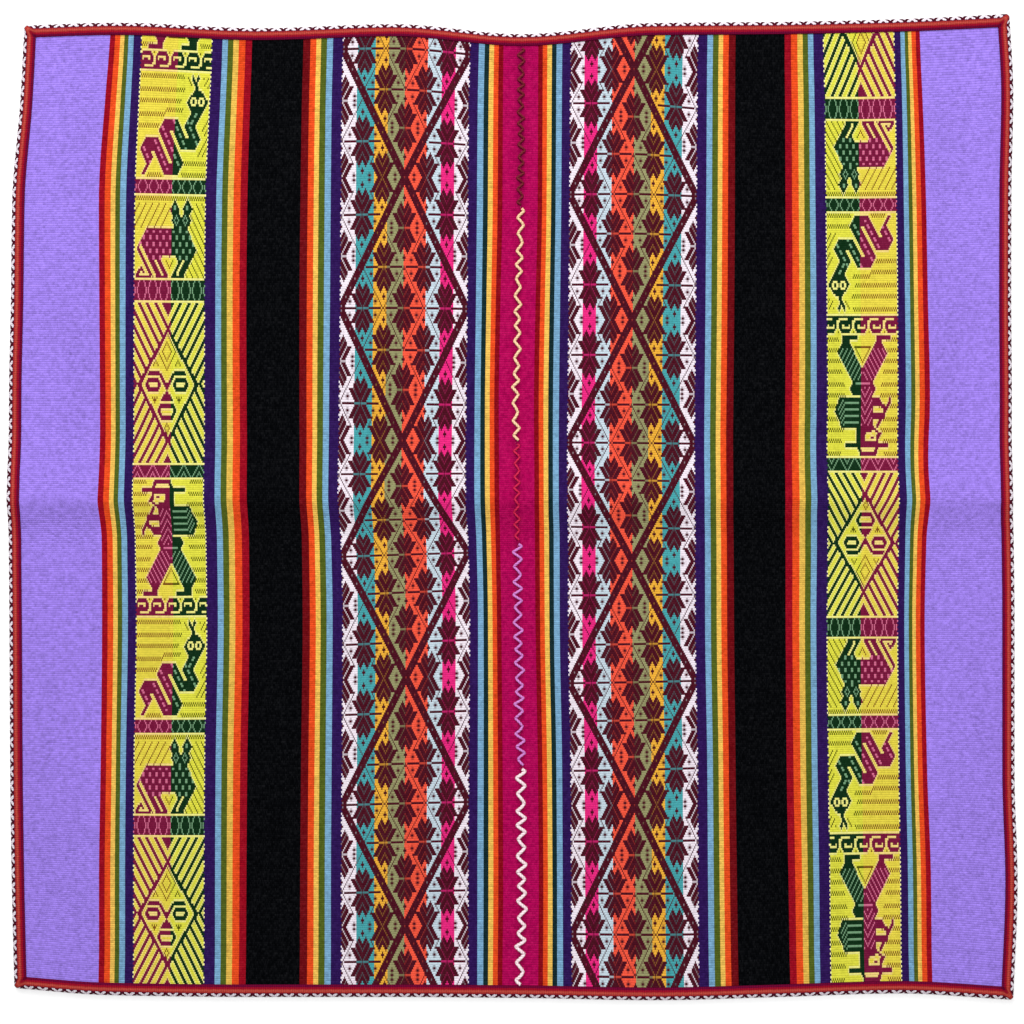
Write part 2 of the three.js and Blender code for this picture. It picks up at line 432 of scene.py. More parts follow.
def zigzag_chart(p, t):
    """How much maroon each cell of the zigzag band shows, from 0 to 1.

    The fine net comes first, then the rosettes with their dots and bars, and the zigzag last.
    """
    a = np.abs(p)
    t = every(t, ZIGZAG_REPEAT)
    outside = a > t
    net = outside & ((a + t == 37) | (a + t == 73) | (a - t == 40))
    net |= ~outside & ((a + t == 40) | (a + t == 76) | (t - a == 39))
    maroon = np.where(net, 0.86, 0.0)
    for rosette in ROSETTES:
        da = np.abs(a - rosette["at"][0])
        dt = np.abs(t - rosette["at"][1])
        beside = rosette["beside"]
        from_dots = np.abs(da - 11.5)
        dotted = np.isin(dt, DOT_PICKS[beside])
        maroon[from_dots + dt <= 5.5] = 0
        for step in (-1, 1):
            maroon[(from_dots < 1) & np.isin(dt + step, DOT_PICKS[beside])] = 0.45
        maroon[(from_dots < 2) & dotted] = 0.5
        maroon[(from_dots < 1) & dotted] = 1
        if beside == "bar":
            maroon[(dt == 0) & (da > 5) & (da < 17)] = 1
        wings = (dt <= 6) & (da <= dt + 4.7)
        tips = (dt > 6) & (dt <= 11) & (da <= 6) & (da <= 14 - dt) & (da >= dt - 8.8)
        maroon[wings | tips] = 1
        maroon[(da <= 1) & (dt >= 12) & (dt <= 14) & (da + np.abs(dt - 13) <= 1)] = 1
        at_rim = rosette["at"][0] == ZIGZAG_HALF
        maroon[(da == dt) & (da < 7)] = 0.3 if at_rim else 0.8
        maroon[(dt - da == 5) & (da < 5)] = 0.82
        if beside != "two dots":
            maroon[(dt == 0) & (da > 0) & (da < 6)] = 0.45
    swing = np.abs(a - t)
    maroon[swing < 4] = 1
    maroon[(swing < 1) & (np.mod(t, 4) < 1)] = 0.78
    return maroon


# The figure band's border of curling waves, with an o for a fine mark
WAVE_CHART = [
    "..............",
    "..########..o.",
    ".##########...",
    "##.......###..",
    "##.####..###..",
    "############..",
    "###########...",
    "####........##",
    "##############",
    "..............",
]


def ticks(p, t, first, spacing):
    """Rows of small slanting ticks that fill a plain ground."""
    return (np.mod(t - first, spacing) < 2) & (np.mod(p + t, 2) < 1) & (t >= first)


def snake(p, t):
    """A snake that zigzags across the band, and the marks round it."""
    body = patch(
        p, t,
        (11.5, 12.5), (18.5, 7.5), (24, 7.5), (31, 12.5), (20, 23.5), (25.5, 29), (21, 33.5),
        (8, 33.5), (0.5, 26), (-2.5, 26), (11, 39.5), (6, 44.5), (-6, 44.5), (-16, 34.5),
        (-19, 34.5), (-16.5, 37), (-24, 44.5), (-26.5, 44.5), (-22, 40), (-28.5, 33.5),
        (-23.5, 28.5), (-12.5, 28.5), (-1.5, 39.5), (1.5, 39.5), (-12.5, 25.5), (-7.5, 20.5),
        (4.5, 20.5), (13, 29), (16, 29), (10.5, 23.5), (16.5, 17.5),
    )
    body |= bar(p, t, (21.5, 8.5), (18.7, 4.8), 2.4)
    for tip in ((16, 1.8), (21.4, 1.8)):
        body |= bar(p, t, (18.7, 4.8), tip, 1.9)
    scales = (every(p - t + 8.25, 12.5) < 0.8) & (np.mod(t, 3) < 1.5) & (t > 20) & (t < 43)
    scales |= (np.abs(p + t - 38.75) < 0.8) & (np.mod(t, 3) < 1.5) & (t > 16) & (t < 24)
    for eye in (17.5, 24.5):
        body &= ~((np.abs(p - eye) / 3.4) ** 2 + (np.abs(t - 12.5) / 1.9) ** 2 < 1)
        body |= (np.abs(p - eye) < 0.6) & (np.abs(t - 12.5) < 0.6)
    rows = ticks(p, t, 1, 5.5) & (t < 26) & (p < np.interp(t, [2, 8, 13, 18, 24], [9, 10, 6, -7, -13]))
    rows |= ticks(p, t, 16, 40) & (p > -8) & (p < 9)
    rows |= ticks(p, t, 39, 5) & (p > 9) | ticks(p, t, 44, 5) & (p > -22) & (p < -8)
    rows |= (p - t == 10) & (t > 1) & (t < 6)
    beside = p > np.interp(t, [1, 6, 7, 14, 24, 29, 40], [24, 27, 34, 34, 25, 30, 19])
    rows |= (np.mod(p + t, 4) == 0) & (t > 1) & (t < 37) & beside
    return body, scales & body | rows & ~body


def animal(p, t):
    """A long-eared animal with a curled tail."""
    back = patch(
        p, t,
        (2.5, 14.5), (-20.5, 14.5), (-29.5, 23.5), (-17.5, 35.5), (-13, 36.8), (-1, 36.8),
        (-1, 35.5), (-8, 28.5), (-5, 26), (0, 27.2), (2.5, 26.5),
    )
    back &= ~bar(p, t, (-26, 22.8), (-13.5, 35.3), 2.1) & ~bar(p, t, (-12.5, 29), (-6.5, 35), 1.8)
    chest = patch(
        p, t,
        (2.5, 14.5), (5, 13), (15, 13), (24.5, 24.5), (13.5, 35.5), (13.5, 36.8), (1, 36.8), (1.5, 35.5),
        (8, 29.5), (5, 26.3), (2.5, 26.5),
    )
    chest &= ~bar(p, t, (12.5, 28.8), (7, 34.8), 1.8)
    head = lozenge(p, t, (4.5, 6.3), 4.4) | lozenge(p, t, (16, 6.3), 4.4)
    head |= lozenge(p, t, (6.2, 11.2), 5) | lozenge(p, t, (14.2, 11.2), 5)
    tail = bar(p, t, (-17.5, 36), (-30, 36), 1.6) | bar(p, t, (-30, 36), (-25.5, 31.7), 1.6)
    tail |= bar(p, t, (-25.5, 31.7), (-23.4, 33.8), 1.5)
    figure = back | chest | head | tail
    rows = np.floor(t / 3)
    spots = (np.mod(p + 3 * np.mod(rows, 2), 6) < 2) & (np.mod(t, 3) < 2)
    spots &= (t > 15) & (t < 29) & (np.abs(p + 2.5) + t < 48)
    for middle in (4.5, 15.5):
        spots |= (np.abs(p - middle) < 1) & (np.abs(t - 5.5) < 1)
    for middle in (6, 14):
        spots |= lozenge_line(p, t, (middle, 11), 2)
    spots |= (np.abs(p - 9.5) < 1) & (np.abs(t - 15) < 2)
    hatch = (np.mod(p + t, 6) == 0) & (p < 2 - t * 0.3) & (t < 15) & (t > 3)
    hatch |= (np.mod(p - t, 5) == 0) & (p > 19 - 0.2 * t) & (p > 2 + np.abs(t - 24)) & (t > 3)
    hatch |= ticks(p, t, 1, 40)
    hatch |= lozenge_line(p, t, (0, 26), 6) & (t > 28)
    return figure, spots & figure | hatch & ~figure


def rhombus(p, t):
    """A rhombus with a plain mask inside, in a field of slanting bars."""
    middle = 36.4
    from_end = np.where(t < middle, t, 2 * middle - t)
    reach = np.abs(p + 1) * 0.92 + np.abs(t - middle)
    slanting = np.abs(p + 1) + np.floor(from_end)
    nearest = 12 + np.rint(np.rint((slanting - 12) / 7.6) * 7.6)
    bars = (np.abs(slanting - nearest) < 1.5) & (slanting > 9) & (reach > 24)
    drawn = bars | (np.abs(reach - 24) < 1.6) | (np.abs(p + 1) < 6.5 - from_end)
    a = np.abs(p + 2)
    eyes = six_sided(a, t, (12.4, 36.2), 7.6, 3.1) & ~six_sided(a, t, (12.4, 36.2), 4.3, 0.9)
    brows = patch(a, t, (18, 33), (15.5, 30.2), (7, 30.2), (0, 36), (0, 39.4), (6.5, 33))
    nose = patch(a, t, (-1, 38.5), (0, 38.5), (6.2, 43.4), (-1, 43.4))
    mouth = six_sided(a, t, (0, 47.7), 9, 3.4) & ~six_sided(a, t, (0, 47.7), 6, 1.4)
    drawn |= eyes | brows | nose | mouth
    drawn &= t > 0
    fine = lozenge_line(a, t, (0, 22), 8) | lozenge_line(a, t, (0, 22), 4)
    fine |= lozenge_line(a, t, (0, 55), 2)
    fine |= lozenge_line(a, t, (10, 29), 3) & (t < 29)
    fine |= (lozenge_line(a, t, (11, 41), 3) | (a == 11)) & (t > 41) & (t < 45)
    return drawn, fine & ~drawn


def lozenges(p, t):
    """A divider of linked lozenges, pale lines on a dark ground."""
    last = t.max()
    away = every(p - 5, 10) + np.abs(t - last / 2 - 0.5) * 5 / last
    return t > 0, (t > 0) & (np.abs(away - 4.45) < 0.5)


def tents(p, t):
    """A divider of nested tents."""
    dp = every(p, 14)
    return t > 0, (t > 0) & ((dp == t) | (dp == t - 4))


def drummer(p, t):
    """A figure in a hat who plays a drum, built of plain straight-sided shapes."""
    hat = patch(p, t, (-15, 4.3), (-12, 0.8), (2, 0.8), (4.3, 4.3))
    hat &= ~patch(p, t, (-11.5, 4.2), (-10, 2.1), (0, 2.1), (1.2, 4.2))
    hat |= (p > -23.5) & (p < 16) & (np.abs(t - 5.1) < 1)
    head = patch(p, t, (-14.5, 6), (5.5, 6), (5.5, 14), (-5, 17.5), (-13, 12.5), (-17, 11), (-14.5, 8.5))
    head &= ~patch(p, t, (-12, 7.6), (-2, 7.6), (-3.5, 12), (-7.5, 11), (-10, 13), (-13, 11))
    head |= (np.abs(p + 9) < 1.1) & (np.abs(t - 9) < 0.6)
    stick = bar(p, t, (-13.5, 14), (-25, 26.5), 2.2)
    arms = bar(p, t, (-18.5, 19), (-8, 19.5), 3) | bar(p, t, (-19.5, 22.5), (-15, 25.5), 2.4)
    arms |= bar(p, t, (-15, 25.5), (-8, 25.5), 3.2) | bar(p, t, (-8, 16), (-8, 26), 3)
    torso = patch(p, t, (-6, 13), (2.8, 13), (2.8, 31), (-8.5, 31), (-8.5, 27), (-6, 20))
    drum = patch(p, t, (2.8, 13.3), (18.5, 13.3), (25.5, 21), (21.5, 27.4), (2.8, 27.4))
    waist = six_sided(p, t, (0, 31.3), 11.8, 3.2)
    left_leg = patch(
        p, t,
        (-9, 34.4), (1, 34.4), (0.5, 41), (-12.5, 53.5), (-12.5, 55.3), (-18, 55.3), (-17.5, 52.5),
        (-22.5, 48.3),
    )
    right_leg = patch(
        p, t,
        (0, 34.4), (9, 34.4), (23, 48.3), (18.5, 52.5), (18.5, 55.3), (12, 55.3), (12, 53.3), (0.5, 41),
    )
    feet = (np.abs(t - 55.5) < 1) & ((np.abs(p + 19) < 7) | (np.abs(p - 11.5) < 7))
    figure = hat | head | stick | arms | torso | drum | waist | left_leg | right_leg | feet
    pale = (np.mod(t + np.maximum(p - 16, 0), 3) == 1) & (t > 14) & (t < 27) & (p > 3)
    pale &= p < 23 - np.abs(t - 21) * 0.7
    pale |= (t == 28) & (p > 1) & (p < 8) | (t == 34) & (np.abs(p) < 7)
    pale |= (np.mod(p - t, 4) == 0) & (t > 35) & (t < 51) & (p < 0)
    pale |= (np.mod(p + t, 4) == 0) & (t > 35) & (t < 51) & (p > 0)
    pale |= (np.mod(np.abs(p + 2) - t, 4) == 0) & (t > 14) & (t < 33) & (p < 2) & (p > -9)
    ground = ticks(p, t, 1, 5.3) & (np.abs(p) > 14 + 0.25 * np.abs(t - 24))
    ground |= (np.abs(p) == t - 44) & (t < 51) | (t == 51) & (np.abs(p) < 8)
    return figure, pale & figure | ground & ~figure


def waves(p, t):
    """A border of curling waves, read from its chart."""
    chart = np.array([list(row) for row in WAVE_CHART])
    cells = chart[t.astype(int), np.mod(p + FIGURE_HALF, chart.shape[1]).astype(int)]
    return cells == "#", cells == "o"


# The figure band from the top: what is drawn, and how many picks it takes
FIGURE_PARTS = [
    (snake, 46),
    (lozenges, 7),
    (animal, 37),
    (lozenges, 10),
    (rhombus, 71),
    (tents, 7),
    (drummer, 57),
    (waves, 10),
]


def figure_chart():
    """One repeat of the figure band: the figures' cells, and the fine marks on and round them."""
    parts = []
    pairs = np.arange(-FIGURE_HALF, FIGURE_HALF + 1)
    for draw, picks in FIGURE_PARTS:
        t, p = np.meshgrid(np.arange(picks), pairs, indexing="ij")
        parts.append(draw(p.astype(float), t.astype(float)))
    return [np.concatenate(charts) for charts in zip(*parts)]


figures_drawn, figures_marked = figure_chart()

# The cells beside a figure, where the ground is paler
near_figures = np.zeros_like(figures_drawn)
for shift, axis in ((1, 0), (-1, 0), (1, 1), (-1, 1)):
    near_figures |= np.roll(figures_drawn, shift, axis)

# Plum figures on warm lemon up to this pair, dark green ones on lemon beyond it
PLUM_END = 1.5


def zigzag_colours(p, t, under):
    """The zigzag band's colour at each cell."""
    ground = np.zeros(p.shape + (3,))
    start = -ZIGZAG_HALF
    for end, name in ZIGZAG_GROUND:
        ground[(p >= start) & (p < end)] = colour_of(name)
        start = end
    maroon = zigzag_chart(p, t)[..., None]
    if under:
        maroon = 1 - maroon
    colours = maroon * colour_of("maroon") + (1 - maroon) * ground
    tooth = (np.abs(p) > ZIGZAG_HALF - 1) & (np.mod(t, 2) < 1)
    return np.where(tooth[..., None], colour_of("indigo"), colours)


def figure_colours(p, t, under):
    """The figure band's colour at each cell."""
    rows = np.mod(np.floor(t), FIGURE_REPEAT).astype(int)
    columns = np.round(p + FIGURE_HALF).astype(int)
    drawn = figures_drawn[rows, columns][..., None]
    marked = figures_marked[rows, columns][..., None]
    if under:
        drawn = ~drawn
    plum_side = p[..., None] < PLUM_END
    figure = np.where(plum_side, colour_of("plum"), colour_of("dark green"))
    ground = np.where(plum_side, colour_of("warm lemon"), colour_of("lemon"))
    on_figure = np.where(plum_side, colour_of("rose"), colour_of("grey green"))
    on_ground = np.where(plum_side, colour_of("rust"), colour_of("olive"))
    if not under:
        beside = near_figures[rows, columns][..., None]
        pale = np.where(plum_side, colour_of("peach"), colour_of("pale yellow"))
        ground = np.where(beside, (ground + pale) / 2, ground)
    rim = np.abs(p) > FIGURE_HALF - 1
    ground = np.where(rim[..., None], colour_of("pale yellow"), ground)
    colours = np.where(drawn, np.where(marked, on_figure, figure), np.where(marked, on_ground, ground))
    tooth = rim & (np.mod(t, 2) < 1)
    return np.where(tooth[..., None], colour_of("indigo"), colours)


class Panel:
    """One woven panel: where each pair and pick lies, and what colour it shows."""

    def __init__(self, side):
        self.left = side == "left"
        lines = LEFT_LINES if self.left else RIGHT_LINES
        self.outwards = -1 if self.left else 1
        self.guide_pairs = [
            0, ZIGZAG_START, ZIGZAG_END, BLACK_MIDDLE,
            FIGURE_START, FIGURE_END, LILAC_START, OUTER_PAIR,
        ]
        self.guides = [smooth_line(LINE_ROWS, line) for name, line in lines.items() if name != "edge"]
        self.edge = left_edge if self.left else right_edge
        picks = LEFT_PICKS if self.left else RIGHT_PICKS
        self.pick_line = smooth_line(picks, LEFT_PICK_Y if self.left else RIGHT_PICK_Y)
        self.slant = smooth_line(LINE_ROWS, LEFT_SLANT if self.left else RIGHT_SLANT)
        self.first, self.last = picks[0], picks[-1]

    def place(self, pairs, picks, top):
        """Points of the panel in millimetres."""
        y = self.pick_line(picks)
        y = y + self.slant(y) * np.interp(pairs, SLANT_PAIRS, SLANT_SHARES)
        seam, edge = seam_line(y), self.edge(y)
        zigzag, black, figures, lilac = [guide(y) for guide in self.guides]
        half_zigzag = self.outwards * ZIGZAG_WIDTH / 2
        half_figures = self.outwards * FIGURE_WIDTH / 2
        stops = [
            seam + self.outwards * SEAM_GAP / 2, zigzag - half_zigzag, zigzag + half_zigzag, black,
            figures - half_figures, figures + half_figures, lilac,
            edge + (seam - edge) * 2 * HEM_INSET / CLOTH_WIDTH,
        ]
        x = np.zeros(pairs.shape)
        for k in range(len(stops) - 1):
            low, high = self.guide_pairs[k], self.guide_pairs[k + 1]
            share = (pairs - low) / (high - low)
            between = (pairs >= low) & (pairs <= high)
            x = np.where(between, stops[k] + (stops[k + 1] - stops[k]) * share, x)
        half = (x - edge) / (seam - edge) / 2
        across = half if self.left else 1 - half
        plan_y = wavered(across, y)
        z = crease_height(plan_y) + edge_lift(across, y) + (CLOTH_THICKNESS if top else 0)
        return np.stack([x, plan_y, z], axis=-1)

    def colours(self, pairs, picks, under):
        """Colour of cells by their middles, with 1 for plain weave and 0 for the bands."""
        colours = np.zeros(pairs.shape + (4,))
        start = 0
        for name, count in WARP:
            here = (pairs >= start) & (pairs < start + count)
            if name == "zigzag band":
                from_middle = np.round(pairs[here] - ZIGZAG_MIDDLE)
                colours[here, :3] = zigzag_colours(from_middle, np.floor(picks[here]), under)
            elif name == "figure band":
                if self.left:
                    turned = picks[here] - LEFT_FIGURE_START
                else:
                    turned = RIGHT_FIGURE_START - picks[here]
                colours[here, :3] = figure_colours(FIGURE_MIDDLE - pairs[here], turned, under)
            else:
                colours[here, :3] = colour_of(name)
                colours[here, 3] = 1
            start += count
        return colours


def smooth_piece(name, points, faces, corners_at):
    """A smooth mesh of points in millimetres, with a place in the weave for each face corner."""
    mesh = bpy.data.meshes.new(name)
    mesh.from_pydata((points * MM).tolist(), [], faces)
    weave = mesh.uv_layers.new(name="weave")
    weave.data.foreach_set("uv", np.array(corners_at, float).ravel())
    mesh.polygons.foreach_set("use_smooth", np.ones(len(faces), bool))
    mesh.update()
    piece = bpy.data.objects.new(name, mesh)
    bpy.context.collection.objects.link(piece)
    return piece


def warp_columns(band_step):
    """Pair numbers of the mesh's columns and, for the gap after each, whether it is a band."""
    columns, banded = [0], []
    for name, count in WARP:
        in_band = name.endswith("band")
        steps = math.ceil(count / (band_step if in_band else PAIRS_IN_STRIPES))
        start = columns[-1]
        columns += [start + count * (k + 1) / steps for k in range(steps)]
        if in_band:
            columns[-steps:] = [min(start + band_step * (k + 1), start + count) for k in range(steps)]
        banded += [in_band] * steps
    return columns, banded


def panel_mesh(name, side):
    """A panel as a thin closed slab, one cell for each pair and pick of its woven bands."""
    panel = Panel(side)
    all_rows = list(range(panel.first, panel.last + 1))

    def picks_apart(pick):
        """How far apart the rows of the plain stripes are at a pick."""
        if abs(panel.pick_line(pick) - CREASE_Y) < NEAR_CREASE:
            return PICKS_NEAR_CREASE
        if min(pick - panel.first, panel.last - pick) < NEAR_HEM:
            return PICKS_NEAR_HEM
        return PICKS_ELSEWHERE

    def is_row(pick, apart):
        return (pick - panel.first) % apart == 0 or pick == panel.last

    top_plain = [pick for pick in all_rows if is_row(pick, picks_apart(pick))]
    low_band = [pick for pick in all_rows if is_row(pick, PICKS_UNDERNEATH)]
    low_plain = [pick for pick in top_plain if is_row(pick, PICKS_UNDERNEATH)]
    points, faces, cells = [], [], []

    def surface(band_step, plain_rows, band_rows, top):
        """Adds one side of the slab and returns its lines of vertices."""
        columns, banded = warp_columns(band_step)
        if panel.left:
            columns, banded = columns[::-1], banded[::-1]
        lines = []
        for k, pair in enumerate(columns):
            beside = banded[max(k - 1, 0):k + 1]
            rows = band_rows if any(beside) else plain_rows
            start = sum(len(line) for line in points)
            picks = np.array(rows, float)
            points.append(panel.place(np.full(len(rows), float(pair)), picks, top))
            lines.append((pair, {pick: start + i for i, pick in enumerate(rows)}, rows))
        for k, in_band in enumerate(banded):
            rows = band_rows if in_band else plain_rows
            (pair, left_at, left_rows), (next_pair, right_at, right_rows) = lines[k], lines[k + 1]
            for r0, r1 in zip(rows, rows[1:]):
                if in_band:
                    face = [left_at[r1], right_at[r1], right_at[r0], left_at[r0]]
                else:
                    left = left_rows[left_rows.index(r0):left_rows.index(r1) + 1]
                    right = right_rows[right_rows.index(r0):right_rows.index(r1) + 1]
                    face = [right_at[pick] for pick in right[::-1]] + [left_at[pick] for pick in left]
                faces.append(face if top else face[::-1])
                cells.append(((pair + next_pair) / 2, (r0 + r1) / 2, not top))
        return lines

    top_lines = surface(1, top_plain, all_rows, True)
    low_lines = surface(PAIRS_UNDERNEATH, low_plain, low_band, False)

    def wall(upper, lower, pair, pick, outward):
        """A piece of the rim between the two sides."""
        face = lower + upper[::-1]
        faces.append(face if outward else face[::-1])
        cells.append((pair, pick, False))

    for end, outward in ((0, False), (-1, True)):
        pair, top_at, top_rows = top_lines[end]
        _, low_at, low_rows = low_lines[end]
        inside = min(max(pair, 0.5), OUTER_PAIR - 0.5)
        for r0, r1 in zip(low_rows, low_rows[1:]):
            upper = [top_at[row] for row in top_rows if r0 <= row <= r1]
            wall(upper, [low_at[r0], low_at[r1]], inside, (r0 + r1) / 2, not outward)
    top_pairs = [line[0] for line in top_lines]
    for pick, outward in ((panel.first, True), (panel.last, False)):
        for here, beyond in zip(low_lines, low_lines[1:]):
            i0, i1 = top_pairs.index(here[0]), top_pairs.index(beyond[0])
            upper = [line[1][pick] for line in top_lines[i0:i1 + 1]]
            inside = pick + (0.5 if outward else -0.5)
            wall(upper, [here[1][pick], beyond[1][pick]], (here[0] + beyond[0]) / 2, inside, not outward)

    points = np.concatenate(points)
    weave_at = np.zeros((len(points), 2))
    for pair, at, rows in top_lines + low_lines:
        weave_at[[at[pick] for pick in rows]] = [(pair, pick - panel.first) for pick in rows]
    piece = smooth_piece(name, points, faces, weave_at[np.concatenate(faces)])
    cells = np.array(cells, float)
    colours = np.zeros((len(cells), 4))
    for under in (False, True):
        here = cells[:, 2] == under
        colours[here] = panel.colours(cells[here, 0], cells[here, 1], under)
    corners = [len(face) for face in faces]
    attribute = piece.data.color_attributes.new("yarn", "FLOAT_COLOR", "CORNER")
    attribute.data.foreach_set("color", np.repeat(colours, corners, axis=0).ravel())
    return piece


class Signal:
    """A number on its way through a material, worked on with plain arithmetic."""

    def __init__(self, finish, socket):
        self.finish = finish
        self.socket = socket

    def math(self, operation, *values):
        settings = {"operation": operation}
        return self.finish.node("ShaderNodeMath", settings, dict(enumerate(values)))

    def __add__(self, other):
        return self.math("ADD", self, other)

    def __sub__(self, other):
        return self.math("SUBTRACT", self, other)

    def __rsub__(self, other):
        return self.math("SUBTRACT", other, self)

    def __mul__(self, other):
        return self.math("MULTIPLY", self, other)

    def __truediv__(self, other):
        return self.math("DIVIDE", self, other)

    def __pow__(self, other):
        return self.math("POWER", self, other)

    def __lt__(self, other):
        return self.math("LESS_THAN", self, other)

    def __gt__(self, other):
        return self.math("GREATER_THAN", self, other)

    def __abs__(self):
        return self.math("ABSOLUTE", self)

    def floor(self):
        return self.math("FLOOR", self)

    def fraction(self):
        return self.math("FRACT", self)

    __radd__ = __add__
    __rmul__ = __mul__


class Finish:
    """A material under way, with the one method that adds its nodes."""

    def __init__(self, name, roughness, gloss):
        self.material = bpy.data.materials.new(name)
        self.material.use_nodes = True
        self.tree = self.material.node_tree
        self.shader = self.tree.nodes["Principled BSDF"]
        self.shader.inputs["Roughness"].default_value = roughness
        self.shader.inputs["Specular IOR Level"].default_value = gloss

    def connect(self, socket, value):
        if isinstance(value, Signal):
            self.tree.links.new(value.socket, socket)
        else:
            socket.default_value = value

    def node(self, kind, settings=None, inputs=None, output=0):
        """Adds a node, sets it up, feeds its sockets and returns one of its outputs."""
        node = self.tree.nodes.new(kind)
        for setting, value in (settings or {}).items():
            setattr(node, setting, value)
        for socket, value in (inputs or {}).items():
            self.connect(node.inputs[socket], value)
        return Signal(self, node.outputs[output])

    def mix(self, share, first, second, blend="MIX"):
        """A colour between two others."""
        settings = {"data_type": "RGBA", "blend_type": blend}
        return self.node("ShaderNodeMix", settings, {0: share, 6: first, 7: second}, output=2)

    def flat_map(self, name):
        """The two numbers of a UV map."""
        place = self.node("ShaderNodeUVMap", {"uv_map": name})
        return [self.node("ShaderNodeSeparateXYZ", None, {0: place}, output=k) for k in (0, 1)]

    def point(self, x, y, z=0.0):
        return self.node("ShaderNodeCombineXYZ", None, {0: x, 1: y, 2: z})

    def noise(self, place, scale, detail):
        inputs = {"Vector": place, "Scale": scale, "Detail": detail}
        return self.node("ShaderNodeTexNoise", {"noise_dimensions": "3D"}, inputs)

    def speckle(self, place):
        return self.node("ShaderNodeTexWhiteNoise", {"noise_dimensions": "2D"}, {"Vector": place})

    def scaled(self, colour, share):
        """A colour made lighter or darker."""
        grey = self.point(share, share, share)
        return self.mix(1.0, colour, grey, "MULTIPLY")

    def show(self, colour, height, depth, strength):
        """Wires the colour and the relief to the shader."""
        self.connect(self.shader.inputs["Base Color"], colour)
        inputs = {"Strength": strength, "Distance": depth, "Height": height}
        bump = self.node("ShaderNodeBump", None, inputs)
        self.connect(self.shader.inputs["Normal"], bump)
        return self.material


def woven_finish():
    """Warp-faced cloth: fine pairs of yarn, with a rib at every pick.

    In plain stripes each pick's pairs lie half a pair beside the last one's. Painted shade is dark
    between ribs and pairs, and the tone differs from cell to cell, from yarn to yarn and over the cloth.
    """
    finish = Finish("woven_wool", 0.85, 0.02)
    colour = finish.node("ShaderNodeAttribute", {"attribute_name": "yarn"})
    plain = Signal(finish, colour.socket.node.outputs["Alpha"])
    u, v = finish.flat_map("weave")
    pick = v.floor()
    shifted = u + pick * 0.5 * plain
    across = abs(shifted.fraction() * 2 - 1)
    along = abs(v.fraction() * 2 - 1)
    hump = 1 - along ** 2
    ridge = 1 - across ** 2
    cell = finish.speckle(finish.point(shifted.floor(), pick))
    dash = finish.noise(finish.point(u * 0.22, pick * 3.7), 1.0, 1.0)
    cloud = finish.noise(finish.point(u * 0.02, v * 0.02), 1.0, 2.0)
    # Painted shade: hump and ridge darken the colour between picks and pairs; cell, dash and cloud vary
    # the tone at random
    painted_shade_and_tone = 0.66 - plain * 0.06 + hump * (0.10 + plain * 0.09) + ridge * 0.10 + cell * 0.16
    painted_shade_and_tone = painted_shade_and_tone + (dash - 0.5) * (0.30 + plain * 0.50) + (cloud - 0.5) * 0.16
    fuzz = finish.noise(finish.point(u * 2.3, v * 4.1), 1.0, 2.0)
    height = hump * 0.6 + ridge * 0.3 + fuzz * 0.3
    # Pale grey mixed in at random along the ribs, which lightens the darkest yarns most
    pale_fleck = (dash * 0.6 + cell * 0.4) ** 3 * 0.12
    flecked = finish.mix(pale_fleck, finish.scaled(colour, painted_shade_and_tone), (*colour_of("pale_fleck"), 1))
    return finish.show(flecked, height, 0.0003, 0.9)


def edging_finish():
    """The tubular edging: white with maroon eyes outside, brick red and crimson inside.

    An eye is two slanting arms over a stem, and a dark tooth stands between two eyes.
    """
    finish = Finish("tubular_edging_wool", 0.8, 0.04)
    inward, along = finish.flat_map("weave")
    wander = finish.noise(finish.point(0.0, along * 0.35), 1.0, 2.0)
    inward = inward + (wander - 0.5) * 0.8
    phase = (along / EYE_REPEAT).fraction()
    from_eye = abs(phase - 0.5) * EYE_REPEAT
    from_gap = EYE_REPEAT / 2 - from_eye
    arm = abs(from_eye - (2.2 - inward) * 1.15) < 1.05
    stem = (from_eye < 1.3) * (inward > 1.3)
    tooth = from_gap < (inward - 1.4) * 1.1
    figured = arm.math("MAXIMUM", arm.math("MAXIMUM", arm, stem), tooth)
    teeth = finish.mix(figured, (*colour_of("white"), 1), (*colour_of("maroon"), 1))
    slant = finish.noise(finish.point(inward * 1.5, along * 0.9), 1.0, 1.0)
    # A painted highlight lightens the brick red in a stripe along the tube's crest
    painted_highlight = 1 - abs(inward - PAINTED_HIGHLIGHT_MIDDLE) / PAINTED_HIGHLIGHT_REACH
    painted_highlight = painted_highlight.math("MAXIMUM", painted_highlight, 0.0)
    red = finish.mix(painted_highlight, (*colour_of("brick"), 1), (*colour_of("painted brick highlight"), 1))
    red = finish.mix(inward > CRIMSON_FROM, red, (*colour_of("crimson edging"), 1))
    red = finish.mix(inward > WINE_FROM, red, (*colour_of("wine"), 1))
    line = (inward > EYES_WIDTH) * (inward < EYES_WIDTH + LINE_WIDTH)
    red = finish.mix(line, red, (*colour_of("wine"), 1))
    colour = finish.mix(inward > EYES_WIDTH, teeth, red)
    rib = abs((along / EDGING_PICK).fraction() * 2 - 1)
    strand = abs((inward / EDGING_STRAND).fraction() * 2 - 1)
    # Painted shade darkens the grooves between ribs and strands; the slant noise varies the tone at
    # random
    painted_shade_and_tone = 1.0 - rib ** 2 * 0.3 - strand ** 2 * 0.16 + (slant - 0.5) * 0.6
    height = 1 - rib ** 2 * 0.6 - strand ** 2 * 0.4
    return finish.show(finish.scaled(colour, painted_shade_and_tone), height, 0.0004, 0.9)


